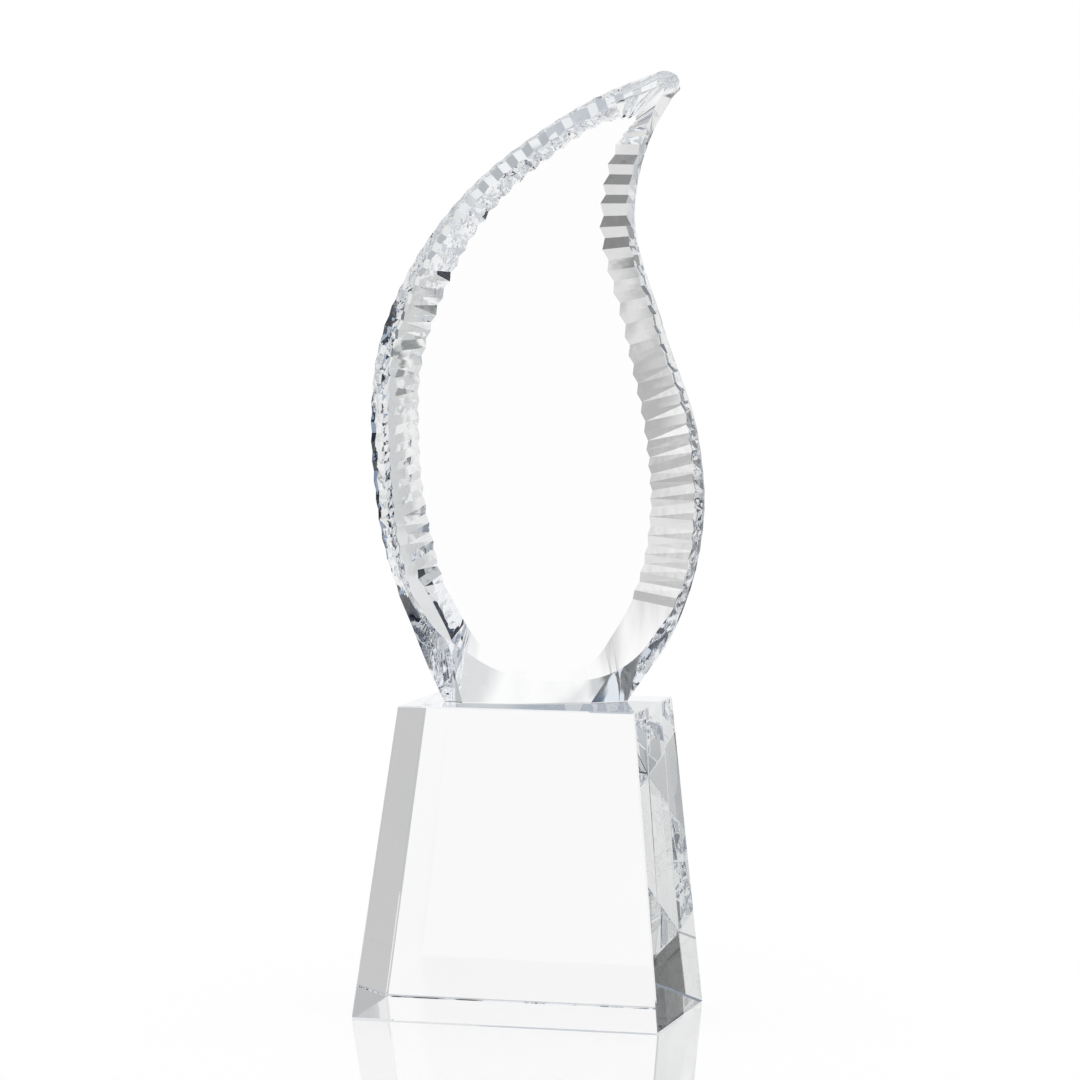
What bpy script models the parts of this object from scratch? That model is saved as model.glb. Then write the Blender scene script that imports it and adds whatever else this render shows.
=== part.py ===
"""Flame award: a notched crystal flame, bonded to a tapered crystal block.

Metres, +Z up, front facing -Y. The origin is the centre of the block's bottom face.
Sizes below are in millimetres, and MM turns them into metres.
"""

import math

import bmesh
import bpy
from mathutils import Vector

MM = 0.001

# Block: a tapered cuboid, whose top lies a little to the right of its bottom
BASE_HEIGHT = 93.0
BASE_BOTTOM_WIDTH = 93.8
BASE_BOTTOM_DEPTH = 55.1
BASE_TOP_WIDTH = 71.9
BASE_TOP_DEPTH = 46.2
BASE_TOP_SHIFT = 2.3
BASE_ARRIS = 0.4  # the polished chamfer along every edge

# Bond: the cured film of clear adhesive between the block and the flame's foot
BOND_THICKNESS = 0.2

# Flame: it turns on the block towards +X, and its thickness is the sum of three depths
FLAME_YAW = math.radians(15.5)
FLAME_FACE_FORWARD = 10.0  # from the block's centre to the flame's front face
FRONT_BEVEL_DEPTH = 9.0
WALL_DEPTH = 5.0
BACK_BEVEL_DEPTH = 5.5

# Notches: V grooves side by side, ground across both bevels and into the wall's edges
NOTCH_PITCH = 5.9
NOTCH_VALLEY_AT = 0.5  # the valley's place between two ridges
FACE_BITE = 0.5
SHOULDER_BITE = 0.4
WAIST_BITE = 0.9

# Steps along the rim where it is smooth, and the least angle that reads as an edge
SMOOTH_STEP = 1.8
TIP_STEP = 0.45
CREASE_ANGLE = math.radians(8.0)

# Sections through the rim, clockwise as seen from the front, from the left of the foot over the tip.
# Each has four corners, as (x, z) from the foot's centre: on the front face's edge, on the bevel's
# outer edge (shoulder), on the wall's back edge (waist) and on the back face's edge. The last
# number is how far a notch bites into the back face's edge.
RIM_SECTIONS = {
    "left ankle": ((-27, 21.5), (-29.2, 8.5), (-23, 18), (-19, 23), 0.6),
    "left stem": ((-31, 27), (-35.2, 23.5), (-27.5, 27.5), (-22.8, 30), 0.6),
    "left notch end": ((-34.5, 33.5), (-38.5, 31.5), (-31, 34), (-25.5, 35), 0.6),
    "left hip": ((-38.6, 47.5), (-43, 46), (-35.4, 47.5), (-29.1, 48), 0.6),
    "left belly": ((-40.5, 64), (-45.7, 63), (-38, 63.5), (-32, 64), 0.6),
    "left waist": ((-41.5, 81), (-46.8, 81), (-39, 80), (-33, 79.5), 0.6),
    "left flank": ((-40, 104), (-44.6, 105), (-38, 103), (-32, 101.5), 0.7),
    "left shoulder": ((-34.5, 120), (-38.7, 121.5), (-33, 119), (-27.5, 116.5), 0.8),
    "upper left": ((-16.5, 147.5), (-19.5, 150), (-15.8, 147.3), (-12.8, 144.1), 0.9),
    "upper": ((5.5, 165.5), (3.5, 169), (5.3, 166.2), (7.3, 162.6), 0.9),
    "near tip": ((25.5, 176.5), (24.3, 180.9), (25.5, 177.3), (26.6, 173), 0.9),
    "tip start": ((36, 180.8), (35.4, 185.2), (36, 180.8), (30.6, 173.2), 0.5),
    "tip crown": ((38.3, 181.6), (40.5, 186.5), (38.8, 181.6), (31.4, 173.4), 0.5),
    "tip nose": ((39.4, 181.4), (44, 184.8), (42, 183), (31.7, 173.1), 0.5),
    "tip chin": ((39.6, 180.4), (44.5, 182.2), (44.8, 182), (31.8, 172.6), 0.5),
    "under tip": ((38.5, 178.3), (41.8, 178), (42.2, 178), (31, 171.2), 0.8),
    "crook": ((33.8, 167), (35.8, 167), (36.2, 167), (28, 167), 1.2),
    "throat": ((29, 146.5), (31.2, 146.5), (31.6, 146.5), (22.4, 146.5), 1.3),
    "right shoulder": ((37.3, 111.5), (39.5, 111.7), (40, 111.5), (29.6, 108), 1.1),
    "right waist": ((47.2, 80.5), (49.5, 80.5), (50.2, 80), (35.5, 77), 0.8),
    "right belly": ((49, 58.5), (51.5, 57.5), (52.4, 57), (36.7, 58), 0.6),
    "right notch end": ((43, 29), (45.6, 27.5), (46.2, 27), (31, 30), 0.6),
    "right stem": ((37.5, 21), (39.8, 15.6), (40.4, 14.9), (28.5, 25), 0.6),
}

# Sections through the foot, from its right end to its left: the front face's edge as (x, z), the
# foot's front edge as (x, depth behind the front face), its back edge as (x, depth before the back
# face), and the back face's edge as (x, z)
FOOT_SECTIONS = {
    "right foot end": ((32.5, 14.5), (29.4, FRONT_BEVEL_DEPTH), (27.5, BACK_BEVEL_DEPTH), (24.6, 18.7)),
    "right heel": ((27.3, 10.5), (24, 6), (23, 4.5), (21.6, 14)),
    "right crease": ((22.5, 8.3), (18.5, 3.5), (18, 3.5), (18, 10.6)),
    "foot middle": ((7, 7), (5.5, 2.5), (5.5, 3), (6.7, 7.6)),
    "left toe": ((-8.7, 9.8), (-8.7, 3), (-8.7, 3.5), (-5.2, 9.7)),
    "left crease": ((-24.5, 19.5), (-19.7, 5), (-16.5, 4.5), (-14.2, 16)),
    "left foot end": ((-25.8, 20.3), (-25.2, FRONT_BEVEL_DEPTH), (-20.2, BACK_BEVEL_DEPTH), (-16.5, 19)),
}
SHOULDER_CORNERS = ("right foot end", "right crease", "left crease", "left foot end")
WAIST_CORNERS = ("right foot end", "left foot end")
LEFT_NOTCHES = ("left notch end", "tip start")
RIGHT_NOTCHES = ("under tip", "right notch end")

SECTION_NAMES = list(RIM_SECTIONS) + list(FOOT_SECTIONS)
FLAME_THICKNESS = FRONT_BEVEL_DEPTH + WALL_DEPTH + BACK_BEVEL_DEPTH


def clear_scene():
    for obj in list(bpy.data.objects):
        bpy.data.objects.remove(obj)


def material(name, colour, roughness, ior):
    """Clear material with the given tint."""
    made = bpy.data.materials.new(name)
    made.use_nodes = True
    shader = made.node_tree.nodes["Principled BSDF"]
    shader.inputs["Base Color"].default_value = (*colour, 1.0)
    shader.inputs["Roughness"].default_value = roughness
    shader.inputs["Metallic"].default_value = 0.0
    shader.inputs["IOR"].default_value = ior
    shader.inputs["Transmission Weight"].default_value = 1.0
    return made


def object_from(bm, name, finish):
    """The bmesh as a named object with one material, its faces turned outwards."""
    bmesh.ops.recalc_face_normals(bm, faces=bm.faces)
    mesh = bpy.data.meshes.new(name)
    bm.to_mesh(mesh)
    bm.free()
    mesh.materials.append(finish)
    obj = bpy.data.objects.new(name, mesh)
    bpy.context.collection.objects.link(obj)
    return obj


def rim_corners():
    """The four edges' corners, one list each, as (x, depth behind the front face, z)."""
    face, shoulder, waist, back = [], [], [], []
    for front, outer, inner, rear, _ in RIM_SECTIONS.values():
        face.append(Vector((front[0], 0.0, front[1])))
        shoulder.append(Vector((outer[0], FRONT_BEVEL_DEPTH, outer[1])))
        waist.append(Vector((inner[0], FRONT_BEVEL_DEPTH + WALL_DEPTH, inner[1])))
        back.append(Vector((rear[0], FLAME_THICKNESS, rear[1])))
    for front, outer, inner, rear in FOOT_SECTIONS.values():
        face.append(Vector((front[0], 0.0, front[1])))
        shoulder.append(Vector((outer[0], outer[1], 0.0)))
        waist.append(Vector((inner[0], FLAME_THICKNESS - inner[1], 0.0)))
        back.append(Vector((rear[0], FLAME_THICKNESS, rear[1])))
    return face, shoulder, waist, back


def at(name):
    """The place of a section along the rim: one unit a section."""
    return SECTION_NAMES.index(name)


def tangent(points, index, corners, leaving):
    """The closed curve's direction at a point, scaled to the chord on the side asked for."""
    here = points[index]
    ahead = points[(index + 1) % len(points)] - here
    behind = here - points[index - 1]
    chord = ahead if leaving else behind
    if SECTION_NAMES[index] in corners:
        return chord.copy()
    near, far = ahead.length, behind.length
    blended = ahead * (far / near) + behind * (near / far)
    return blended * (chord.length / (near + far))


def along(points, place, corners=()):
    """The point of the smooth closed curve through the given points, with sharp corners kept."""
    start = math.floor(place)
    share = place - start
    first = start % len(points)
    last = (first + 1) % len(points)
    leaving = tangent(points, first, corners, True)
    arriving = tangent(points, last, corners, False)
    rest = 1.0 - share
    return (
        points[first] * (rest * rest * (1.0 + 2.0 * share))
        + points[last] * (share * share * (3.0 - 2.0 * share))
        + leaving * (share * rest * rest)
        - arriving * (share * share * rest)
    )


def evenly(points, start, end, spacing):
    """Places from start to end along a curve, about the given spacing apart, the end left out."""
    samples = 40 * (end - start)
    places = [start + (end - start) * i / samples for i in range(samples + 1)]
    lengths = [0.0]
    for before, after in zip(places, places[1:]):
        step = along(points, after) - along(points, before)
        lengths.append(lengths[-1] + step.length)
    count = max(1, round(lengths[-1] / spacing))
    chosen = []
    reached = 0
    for i in range(count):
        wanted = lengths[-1] * i / count
        while lengths[reached + 1] < wanted:
            reached += 1
        span = lengths[reached + 1] - lengths[reached]
        share = (wanted - lengths[reached]) / span
        chosen.append(places[reached] + share * (places[reached + 1] - places[reached]))
    return chosen


def rim_places(shoulder):
    """Every (place, is a notch's valley) round the rim."""
    placed = []

    def smooth(start, end, spacing):
        placed.extend((place, False) for place in evenly(shoulder, start, end, spacing))

    def notched(start, end):
        ridges = evenly(shoulder, start, end, NOTCH_PITCH)
        for ridge, following in zip(ridges, ridges[1:] + [end]):
            placed.append((ridge, False))
            placed.append((ridge + NOTCH_VALLEY_AT * (following - ridge), True))

    smooth(0, at(LEFT_NOTCHES[0]), SMOOTH_STEP)
    notched(at(LEFT_NOTCHES[0]), at(LEFT_NOTCHES[1]))
    smooth(at(LEFT_NOTCHES[1]), at(RIGHT_NOTCHES[0]), TIP_STEP)
    notched(at(RIGHT_NOTCHES[0]), at(RIGHT_NOTCHES[1]))
    smooth(at(RIGHT_NOTCHES[1]), at("right foot end"), SMOOTH_STEP)
    for first in range(at("right foot end"), len(SECTION_NAMES)):
        smooth(first, first + 1, SMOOTH_STEP)
    return placed


def back_bite(place):
    """How far a notch bites into the back face's edge there."""
    bites = [section[-1] for section in RIM_SECTIONS.values()]
    first = math.floor(place)
    share = place - first
    return bites[first] * (1.0 - share) + bites[first + 1] * share


def rim_rings():
    """The four edges as matched rings of points."""
    face, shoulder, waist, back = rim_corners()
    rings = ([], [], [], [])
    for place, valley in rim_places(shoulder):
        front = along(face, place)
        outer = along(shoulder, place, SHOULDER_CORNERS)
        inner = along(waist, place, WAIST_CORNERS)
        rear = along(back, place)
        if valley:
            inward = Vector((rear.x - outer.x, 0.0, rear.z - outer.z)).normalized()
            wall = (inner - outer).normalized()
            front += inward * FACE_BITE
            rear += inward * back_bite(place)
            outer += wall * SHOULDER_BITE
            inner -= wall * WAIST_BITE
        for ring, point in zip(rings, (front, outer, inner, rear)):
            ring.append(point)
    return rings


def placed_on_block(obj, height):
    """Turns a piece that is modelled in the flame's own frame, and stands it on the block."""
    obj.rotation_euler.z = FLAME_YAW
    obj.location.z = height * MM


def in_flame_frame(point):
    return Vector((point.x, point.y - FLAME_FACE_FORWARD, point.z)) * MM


def flame_blade():
    bm = bmesh.new()
    loops = [[bm.verts.new(in_flame_frame(point)) for point in ring] for ring in rim_rings()]
    count = len(loops[0])
    for outer, inner in zip(loops, loops[1:]):
        for i in range(count):
            following = (i + 1) % count
            bm.faces.new((outer[i], outer[following], inner[following], inner[i]))
    bm.faces.new(loops[0])
    bm.faces.new(loops[-1])
    foot = [face for face in bm.faces if max(vert.co.z for vert in face.verts) < 0.01 * MM]
    bmesh.ops.dissolve_faces(bm, faces=foot)
    blade = object_from(bm, "flame_blade", material("optical crystal", (0.97, 0.98, 0.99), 0.0, 1.517))
    blade.data.shade_smooth()
    blade.data.set_sharp_from_angle(angle=CREASE_ANGLE)
    placed_on_block(blade, BASE_HEIGHT + BOND_THICKNESS)


def bond_film():
    """The film has the outline of the flame's foot."""
    rings = rim_rings()
    outline = [point for point in rings[1] if abs(point.z) < 0.01]
    outline += [point for point in reversed(rings[2]) if abs(point.z) < 0.01]
    bm = bmesh.new()
    bottom = bm.faces.new([bm.verts.new(in_flame_frame(point)) for point in outline])
    raised = bmesh.ops.extrude_face_region(bm, geom=[bottom])["geom"]
    verts = [item for item in raised if isinstance(item, bmesh.types.BMVert)]
    bmesh.ops.translate(bm, verts=verts, vec=(0.0, 0.0, BOND_THICKNESS * MM))
    film = object_from(bm, "bond_film", material("cured adhesive", (0.98, 0.98, 0.97), 0.0, 1.50))
    placed_on_block(film, BASE_HEIGHT)


def base_block():
    bm = bmesh.new()
    cube = bmesh.ops.create_cube(bm, size=1.0)["verts"]
    for vert in cube:
        on_top = vert.co.z > 0
        width = BASE_TOP_WIDTH if on_top else BASE_BOTTOM_WIDTH
        depth = BASE_TOP_DEPTH if on_top else BASE_BOTTOM_DEPTH
        shift = BASE_TOP_SHIFT if on_top else 0.0
        height = BASE_HEIGHT if on_top else 0.0
        vert.co = Vector((shift + vert.co.x * width, vert.co.y * depth, height)) * MM
    bmesh.ops.bevel(
        bm,
        geom=bm.edges[:],
        offset=BASE_ARRIS * MM,
        affect="EDGES",
        segments=1,
        profile=0.5,
        material=-1,
    )
    object_from(bm, "base_block", material("optical glass", (0.97, 0.98, 0.98), 0.0, 1.517))


clear_scene()
base_block()
bond_film()
flame_blade()
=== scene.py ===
"""Looks of a flame award: optical crystal, its notched rim and the pale studio round it."""

import math

import bmesh
import bpy
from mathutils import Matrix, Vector


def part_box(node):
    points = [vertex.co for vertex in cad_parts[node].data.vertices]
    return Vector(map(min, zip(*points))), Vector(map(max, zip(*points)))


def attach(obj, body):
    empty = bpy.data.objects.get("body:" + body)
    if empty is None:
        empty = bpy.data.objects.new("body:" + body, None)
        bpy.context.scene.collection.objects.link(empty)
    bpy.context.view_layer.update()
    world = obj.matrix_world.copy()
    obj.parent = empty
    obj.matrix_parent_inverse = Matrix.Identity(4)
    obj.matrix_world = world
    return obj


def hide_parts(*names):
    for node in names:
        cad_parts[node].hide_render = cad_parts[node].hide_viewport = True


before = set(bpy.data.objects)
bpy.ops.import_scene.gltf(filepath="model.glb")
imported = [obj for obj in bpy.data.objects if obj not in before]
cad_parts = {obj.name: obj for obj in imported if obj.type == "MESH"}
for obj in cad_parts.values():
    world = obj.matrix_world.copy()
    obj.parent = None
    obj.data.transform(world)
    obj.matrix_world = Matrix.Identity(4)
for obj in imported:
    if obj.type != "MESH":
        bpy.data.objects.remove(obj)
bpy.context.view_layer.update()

MM = 0.001

# The camera, fitted to the block's corners
CAMERA_PLACE = Vector((358.9, -1284.2, 237.1)) * MM
CAMERA_PITCH = math.radians(4.12)  # down
CAMERA_AZIMUTH = math.radians(15.47)
LENS_LENGTH = 150.0  # in mm, as is the sensor
SENSOR_WIDTH = 36.0
FARTHEST_SEEN = 100.0

# The flame: how far it turns on the block, and how its faces are told apart
FLAME_YAW = math.radians(15.5)
FOOT_REACH = 0.02 * MM  # what lies lower than this in the flame is its foot
NOTCHES_START = 31.0 * MM  # above the foot
SQUARE_ON = 0.999  # a face that looks so squarely forwards or back is the flame's flat front or back
ON_THE_BEVEL = 0.15  # a notch's facet that looks more forwards than this lies on the front bevel

# Meshes: how near two corners are one, and how little two faces bend to be one
WELD = 0.002 * MM
FLATNESS = math.radians(0.2)
EDGE_ANGLE = math.radians(9.0)  # the least bend that reads as an edge
EDGE_CHAMFER = 0.14 * MM  # the fire-polished line along each ridge and valley
FILM_CLEARANCE = 0.004 * MM  # between the adhesive film and each face it joins

# Crystal: its surface swells by a few hundredths of a millimetre. Each spacing is across the
# flame's depth, along its width and along its height.
K9_IOR = 1.517
LAP_SWELL = 30.3 * MM
LAP_DEPTH = 1.0 * MM
LAP_STRENGTH = 0.02  # the share of that depth's bend that shows
FRONT_NOTCH_SWELL = (12 * MM, 6 * MM, 6 * MM)
FRONT_NOTCH_DEPTH = 0.06 * MM
RIM_NOTCH_SWELL = (6 * MM, 3 * MM, 3 * MM)
RIM_NOTCH_DEPTH = 0.03 * MM
FOOT_SWELL = (4 * MM, 5 * MM, 30 * MM)
FOOT_DEPTH = 0.06 * MM
MOST_TURNS = 96  # of light inside the crystal

# Table: so large that its edge is never seen, and just clear of the block's bottom face
TABLE_HALF = 6.0
TABLE_DROP = 0.05 * MM
TABLE_MIRRORS = 0.5  # the share of its light that is a mirror image
TABLE_TAKES_SHADE = 0.2  # the share of the rest that shadows darken
TABLE_ROUGHNESS = 0.03


def linear(hex_colour):
    """An sRGB hex colour as linear red, green, blue and a full alpha."""
    parts = [int(hex_colour[i : i + 2], 16) / 255.0 for i in (1, 3, 5)]
    return [p / 12.92 if p <= 0.04045 else ((p + 0.055) / 1.055) ** 2.4 for p in parts] + [1.0]


def add(tree, kind, settings=None, **links):
    """A node with its settings and inputs. An input is a value, or a socket to link.

    Inputs go by name, with _ for a space, or by number, as in i0.
    """
    made = tree.nodes.new(kind)
    for name, value in (settings or {}).items():
        setattr(made, name, value)
    for name, value in links.items():
        key = int(name[1:]) if name[0] == "i" and name[1:].isdigit() else name.replace("_", " ")
        socket = made.inputs[key]
        if isinstance(value, bpy.types.NodeSocket):
            tree.links.new(value, socket)
        else:
            socket.default_value = value
    return made


def new_material(name):
    made = bpy.data.materials.new(name)
    made.use_nodes = True
    made.node_tree.nodes.clear()
    return made, made.node_tree


def crystal(name, turn, spacing, detail, strength, depth):
    """K9 optical crystal: water clear, with a mirror on every face that swells a little."""
    made, tree = new_material(name)
    place = add(tree, "ShaderNodeTexCoord").outputs["Object"]
    turned = add(tree, "ShaderNodeMapping", Vector=place, Rotation=(0.0, 0.0, -turn))
    through, along, up = (1.0 / step for step in spacing)
    sized = add(tree, "ShaderNodeMapping", Vector=turned.outputs[0], Scale=(along, through, up))
    swells = add(tree, "ShaderNodeTexNoise", Vector=sized.outputs[0], Scale=1.0, Detail=detail)
    bump = add(tree, "ShaderNodeBump", Strength=strength, Distance=depth, Height=swells.outputs[0])
    shader = add(
        tree,
        "ShaderNodeBsdfPrincipled",
        Base_Color=linear("#fefefe"),
        Roughness=0.0,
        IOR=K9_IOR,
        Transmission_Weight=1.0,
        Normal=bump.outputs[0],
    )
    add(tree, "ShaderNodeOutputMaterial", Surface=shader.outputs[0])
    return made


def polished_crystal():
    """Lapped flat and polished, so its faces are almost perfect mirrors.

    The lap leaves a swell of a few hundredths of a degree, about 30 mm long.
    """
    return crystal(
        "polished_k9_crystal",
        turn=0.0,
        spacing=(LAP_SWELL,) * 3,
        detail=0.0,
        strength=LAP_STRENGTH,
        depth=LAP_DEPTH,
    )


def ground_crystal(name, spacing, depth):
    """Ground by hand and fire polished: it shines, but what its facets mirror is a little bent."""
    return crystal(name, turn=FLAME_YAW, spacing=spacing, detail=1.0, strength=1.0, depth=depth)


def clear_joint():
    """Cured optical adhesive against crystal of the same index: light goes straight through."""
    made, tree = new_material("cured_optical_adhesive_joint")
    shader = add(
        tree,
        "ShaderNodeBsdfPrincipled",
        Base_Color=linear("#ffffff"),
        Roughness=0.0,
        IOR=1.0,
        Transmission_Weight=1.0,
    )
    add(tree, "ShaderNodeOutputMaterial", Surface=shader.outputs[0])
    return made


def merged_copy(node):
    """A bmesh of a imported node, welded and with its flat faces whole again."""
    bm = bmesh.new()
    bm.from_mesh(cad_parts[node].data)
    bmesh.ops.remove_doubles(bm, verts=bm.verts, dist=WELD)
    bmesh.ops.dissolve_limit(bm, angle_limit=FLATNESS, verts=bm.verts, edges=bm.edges, delimit=set())
    return bm


def finished(bm, name, node, slot, strips, *materials):
    """The bmesh as a piece that stands for its node, smooth where it bends little and has no strip."""
    flat = {edge for strip in strips for edge in strip.edges}
    for edge in bm.edges:
        edge.smooth = edge not in flat and edge.calc_face_angle(0.0) < EDGE_ANGLE
    for face in bm.faces:
        face.smooth = True
    mesh = bpy.data.meshes.new(name)
    bm.to_mesh(mesh)
    bm.free()
    for made in materials:
        mesh.materials.append(made)
    piece = bpy.data.objects.new(name, mesh)
    bpy.context.scene.collection.objects.link(piece)
    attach(piece, "root")
    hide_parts(node)
    return piece


def flame():
    """The flame, with a strip along each ridge and valley and a finish for each way it was worked."""
    bm = merged_copy("flame_blade")
    forward = Vector((math.sin(FLAME_YAW), -math.cos(FLAME_YAW), 0.0))
    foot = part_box("flame_blade")[0].z + FOOT_REACH
    sharp = [
        edge
        for edge in bm.edges
        if len(edge.link_faces) == 2
        and edge.calc_face_angle() > EDGE_ANGLE
        and max(vert.co.z for vert in edge.verts) > foot
    ]
    strips = bmesh.ops.bevel(
        bm,
        geom=sharp,
        offset=EDGE_CHAMFER,
        affect="EDGES",
        segments=1,
        profile=0.5,
        material=-1,
        clamp_overlap=True,
    )["faces"]
    flats, front_notches, rim_notches, hollows, joint = range(5)
    for face in bm.faces:
        facing = face.normal.dot(forward)
        if max(vert.co.z for vert in face.verts) < foot:
            face.material_index = joint
        elif abs(facing) > SQUARE_ON:
            face.material_index = flats
        elif face.calc_center_median().z < foot + NOTCHES_START:
            face.material_index = hollows
        else:
            face.material_index = front_notches if facing > ON_THE_BEVEL else rim_notches
    kinds = (
        polished_crystal(),
        ground_crystal("front_notches_of_k9_crystal", FRONT_NOTCH_SWELL, FRONT_NOTCH_DEPTH),
        ground_crystal("rim_notches_of_k9_crystal", RIM_NOTCH_SWELL, RIM_NOTCH_DEPTH),
        ground_crystal("hollowed_foot_of_k9_crystal", FOOT_SWELL, FOOT_DEPTH),
        clear_joint(),
    )
    return finished(bm, "crystal_flame", "flame_blade", "flame_crystal", strips, *kinds)


def foot_outline():
    """The flame's footprint on the block, as corners in order."""
    bm = merged_copy("bond_film")
    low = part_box("bond_film")[0].z
    sole = min(bm.faces, key=lambda face: abs(face.calc_center_median().z - low) - face.calc_area())
    corners = [vert.co.copy() for vert in sole.verts]
    bm.free()
    return corners


def block():
    """The block, its top face parted along the flame's footprint so that the joint shows no mirror."""
    bm = merged_copy("base_block")
    top = max(bm.faces, key=lambda face: face.calc_center_median().z)
    rim = list(top.edges)
    bmesh.ops.delete(bm, geom=[top], context="FACES_ONLY")
    ring = [bm.verts.new(corner) for corner in foot_outline()]
    inner = [bm.edges.new((ring[i - 1], ring[i])) for i in range(len(ring))]
    bmesh.ops.triangle_fill(bm, use_beauty=True, use_dissolve=False, edges=rim + inner)
    patch = bmesh.ops.contextual_create(bm, geom=inner)["faces"]
    bmesh.ops.recalc_face_normals(bm, faces=bm.faces)
    for face in patch:
        face.material_index = 1
    kinds = (polished_crystal(), clear_joint())
    return finished(bm, "crystal_block", "base_block", "base_glass", (), *kinds)


def bond():
    """The adhesive between them: only its 0.2 mm edge shows.

    It keeps clear of the faces it joins, since a ray would be caught between two faces in one plane.
    """
    bm = merged_copy("bond_film")
    middle = sum(corner.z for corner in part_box("bond_film")) / 2.0
    for vert in bm.verts:
        vert.co.z += FILM_CLEARANCE if vert.co.z < middle else -FILM_CLEARANCE
    for face in bm.faces:
        face.material_index = 1 if abs(face.normal.z) > 0.5 else 0
    kinds = (polished_crystal(), clear_joint())
    return finished(bm, "adhesive_film", "bond_film", "bond_adhesive", (), *kinds)


def seen_through_crystal(tree):
    """1 for light that comes out of the crystal or off its mirrors, else 0."""
    path = add(tree, "ShaderNodeLightPath").outputs
    through, mirrored = path["Is Transmission Ray"], path["Is Singular Ray"]
    return add(tree, "ShaderNodeMath", {"operation": "MAXIMUM"}, i0=through, i1=mirrored).outputs[0]


def table():
    """A white acrylic sheet, cast and glossy: it mirrors what stands on it and takes a faint shade.

    Light that leaves the crystal downwards passes it, since the studio holds the table's tones too,
    with a painted sheen on it and a painted shade under the block.
    """
    bm = bmesh.new()
    bmesh.ops.create_grid(bm, x_segments=1, y_segments=1, size=TABLE_HALF)
    bmesh.ops.translate(bm, verts=bm.verts, vec=(0.0, 0.0, -TABLE_DROP))
    mesh = bpy.data.meshes.new("table")
    bm.to_mesh(mesh)
    bm.free()
    made, tree = new_material("white_acrylic_sheet")
    glow = add(tree, "ShaderNodeEmission", Color=linear("#ffffff"), Strength=1.0)
    lit = add(tree, "ShaderNodeBsdfDiffuse", Color=linear("#ffffff"))
    mirror = add(tree, "ShaderNodeBsdfGlossy", Color=linear("#ffffff"), Roughness=TABLE_ROUGHNESS)
    clear = add(tree, "ShaderNodeBsdfTransparent")
    seen = glow.outputs[0]
    for share, other in (
        (TABLE_TAKES_SHADE, lit),
        (TABLE_MIRRORS, mirror),
        (seen_through_crystal(tree), clear),
    ):
        seen = add(tree, "ShaderNodeMixShader", i0=share, i1=seen, i2=other.outputs[0]).outputs[0]
    add(tree, "ShaderNodeOutputMaterial", Surface=seen)
    mesh.materials.append(made)
    sheet = bpy.data.objects.new("table", mesh)
    bpy.context.scene.collection.objects.link(sheet)


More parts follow.
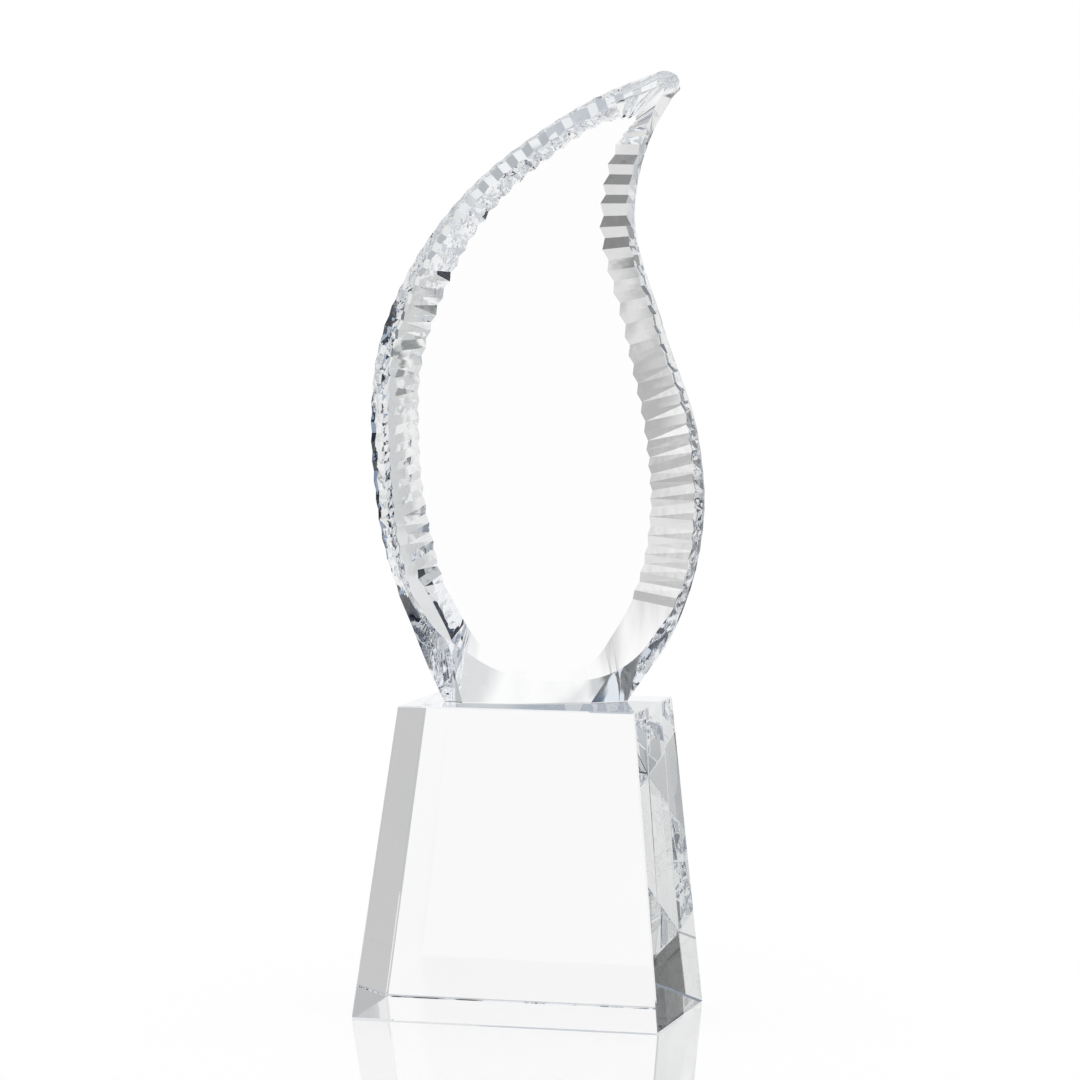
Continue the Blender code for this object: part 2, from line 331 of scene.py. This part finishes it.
# The studio, as panels round the object, where a later one covers those before it. Each has the way
# a ray leaves the object to reach it: its middle and half width in degrees to the left of straight
# away from the camera, its middle and half height in degrees above the table, and how soft its
# edges are. Then come its colour and, if things stand about in it, theirs.
ROOM = "#cfd1d3"
ALL_ROUND = 400
PANELS = (
    ("ceiling", 0, ALL_ROUND, 56, 24, 6, "#8a94a4", "#c8ccd2"),
    ("overhead box", 0, ALL_ROUND, 90, 26, 3, "#f2f5fa"),
    ("room on the left", 66, 26, 17, 12, 8, "#a6abb0", "#c6cace"),
    ("room on the right", -70, 40, 13, 9, 8, "#c4c7ca", "#868c94"),
    ("behind the camera", 180, 35, 20, 14, 8, "#b0b4b8", "#dcdee0"),
    ("far table", 0, ALL_ROUND, -31, 11, 3, "#c2c8ce", "#f2f4f6"),
    ("near table", 0, ALL_ROUND, -55, 9, 4, "#f4f5f6", "#ccd0d4"),
    # Painted shade: the table straight below the crystal is darker here, standing in for the block's
    # shadow on it.
    ("painted shade under the block", 0, ALL_ROUND, -90, 22, 5, "#bcbec0", "#dcdee0"),
    ("sheen on the table", -31, 5.5, -38, 4, 1.5, "#f6f8fa"),
    ("shade on the table", -41, 4, -27, 5, 1.5, "#bcc2c6"),
    ("low backdrop all round", 0, ALL_ROUND, -9, 12, 6, "#f4f4f4"),
    ("box behind the camera", -152, 34, 36, 16, 3, "#f4f6fa"),
    ("dark room in front", 147, 12, 8, 12, 5, "#181a18", "#484a46"),
    ("flag on the right", -85, 5, 8, 26, 1.5, "#0a1222", "#8494ac"),
    ("flag above it", -83, 8.5, 38, 9, 2, "#0a1222", "#2c3a54"),
    ("second flag on the right", -97, 2.5, -20, 48, 1.5, "#0c1424", "#a4b2c6"),
    ("foot of that flag", -103, 4, -52, 22, 2, "#0c1424", "#a4b2c6"),
    ("stands on the right", -43, 7, 5, 15, 2, "#e2e4e8", "#687078"),
    ("flag far right", -45, 12, 46, 12, 3, "#10182a", "#39465c"),
    ("wall up right", -33, 5, 17, 4, 2, "#bcbec0"),
    ("flag on the left", 88, 6, -14, 30, 1.5, "#10161e", "#7c858e"),
    ("stands on the left", 58, 5, -8, 18, 2, "#3c444c", "#d0d4d8"),
    ("flag high on the left", 84, 9, 42, 14, 3, "#202838", "#d0d6de"),
    ("flag high in front", 127, 7, 50, 9, 2, "#20283a", "#f0f4f8"),
    ("dark edge on the right", -13, 4.5, -4, 5, 1.5, "#3c4044"),
    ("grey wall on the right", -20, 4, -1, 6, 2, "#c8cacc"),
    ("pale wall on the left", 12, 4, -2, 17, 3, "#e2e2e2"),
    ("end of that wall", 18, 3, -8, 8, 3, "#dcdcdc"),
    ("rail on that wall", 12, 4, -17, 1, 3, "#b8b8b8"),
    ("second rail", 12, 4, -9, 1, 3, "#b2b2b2"),
    ("third rail", 12, 4, -1, 1, 3, "#b4b4b4"),
    ("fourth rail", 12, 4, 7, 1, 3, "#b0b0b0"),
    ("dark up left", 36, 18, 20, 12, 3, "#707274"),
    ("edge of that dark", 22, 6, 12, 8, 3, "#7a7a7a"),
    ("lit edge up left", 26, 3, 27, 3, 2, "#e3eaf2"),
    ("navy gap up left", 19, 3, 29, 2.5, 2, "#2c4c74"),
    ("gap beside the table", -91.5, 2, -20, 30, 1.5, "#d8dadc", "#eceeee"),
    ("beside the backdrop right", -14, 5, 9, 8, 3, "#dfe0e1"),
    ("white backdrop", 0, 7, 0, 18, 4, "#ffffff"),
    ("table on the right", -30, 5, -16, 6, 2, "#c9c9c9"),
    ("table edge on the right", -31, 5, -6, 1.5, 1.5, "#7c8080"),
    ("window on the right", -31, 4, 3.5, 5, 1.5, "#f0f0f0"),
    ("bar of that window", -31, 4, -0.5, 0.8, 2, "#c4c5c6"),
)
# Things that stand about: how large, as a share of how far they stand, across and up, and how much
# of their panel they leave free
THINGS = (0.06, 0.06, 0.1)
FREE_OF_THINGS = 0.6


def studio():
    """The panels as the world's colours. Straight past the object, the backdrop is white all round."""
    world = bpy.data.worlds.new("studio")
    world.use_nodes = True
    tree = world.node_tree
    tree.nodes.clear()

    def maths(operation, *inputs):
        """The result of a sum on sockets or values."""
        by_number = {f"i{number}": value for number, value in enumerate(inputs)}
        return add(tree, "ShaderNodeMath", {"operation": operation}, **by_number).outputs[0]

    def blend(share, under, over):
        """Two colours mixed, the second by its share."""
        return add(tree, "ShaderNodeMix", {"data_type": "RGBA"}, i0=share, i6=under, i7=over).outputs[2]

    def nearness(angle, middle, half, soft):
        """1 within the half width of the middle, falling to 0 past the soft edge. Angles wrap."""
        off = maths("SUBTRACT", angle, math.radians(middle))
        return add(
            tree,
            "ShaderNodeMapRange",
            {"interpolation_type": "SMOOTHSTEP"},
            Value=maths("ABSOLUTE", maths("WRAP", off, math.pi, -math.pi)),
            From_Min=math.radians(half + soft),
            From_Max=math.radians(half),
            To_Min=0.0,
            To_Max=1.0,
        ).outputs[0]

    way = add(tree, "ShaderNodeTexCoord").outputs["Generated"]
    rightwards, onwards, upwards = add(tree, "ShaderNodeSeparateXYZ", Vector=way).outputs
    turn = maths("ARCTAN2", maths("MULTIPLY", rightwards, -1.0), onwards)
    rise = maths("ARCSINE", upwards)

    across_and_up = add(tree, "ShaderNodeMapping", Vector=way, Scale=[1.0 / size for size in THINGS])
    cells = add(tree, "ShaderNodeTexVoronoi", Vector=across_and_up.outputs[0], Scale=1.0)
    picked = add(tree, "ShaderNodeSeparateColor", Color=cells.outputs["Color"]).outputs[0]
    thing = maths("GREATER_THAN", picked, FREE_OF_THINGS)

    seen = linear(ROOM)
    for _, azimuth, half_width, height, half_height, soft, *colours in PANELS:
        across = nearness(turn, azimuth + math.degrees(CAMERA_AZIMUTH), half_width, soft)
        up = nearness(rise, height, half_height, soft)
        paint, *of_things = [linear(colour) for colour in colours]
        if of_things:
            paint = blend(thing, paint, of_things[0])
        seen = blend(maths("MULTIPLY", across, up), seen, paint)
    room = add(tree, "ShaderNodeBackground", Color=seen, Strength=1.0).outputs[0]
    white = add(tree, "ShaderNodeBackground", Color=linear("#ffffff"), Strength=1.0).outputs[0]
    both = add(tree, "ShaderNodeMixShader", i0=seen_through_crystal(tree), i1=white, i2=room)
    add(tree, "ShaderNodeOutputWorld", Surface=both.outputs[0])
    bpy.context.scene.world = world


def camera():
    lens = bpy.data.cameras.new("camera")
    lens.sensor_width = SENSOR_WIDTH
    lens.lens = LENS_LENGTH
    lens.clip_end = FARTHEST_SEEN
    made = bpy.data.objects.new("camera", lens)
    made.location = CAMERA_PLACE
    made.rotation_euler = (math.pi / 2 - CAMERA_PITCH, 0.0, CAMERA_AZIMUTH)
    bpy.context.scene.collection.objects.link(made)
    bpy.context.scene.camera = made


def light_turns():
    """Light turns inside the crystal many times before it leaves, and each turn counts as gloss."""
    cycles = bpy.context.scene.cycles
    cycles.max_bounces = MOST_TURNS
    cycles.transmission_bounces = MOST_TURNS
    cycles.glossy_bounces = MOST_TURNS


bpy.context.scene.view_settings.view_transform = "Standard"
camera()
light_turns()
studio()
table()
flame()
block()
bond()
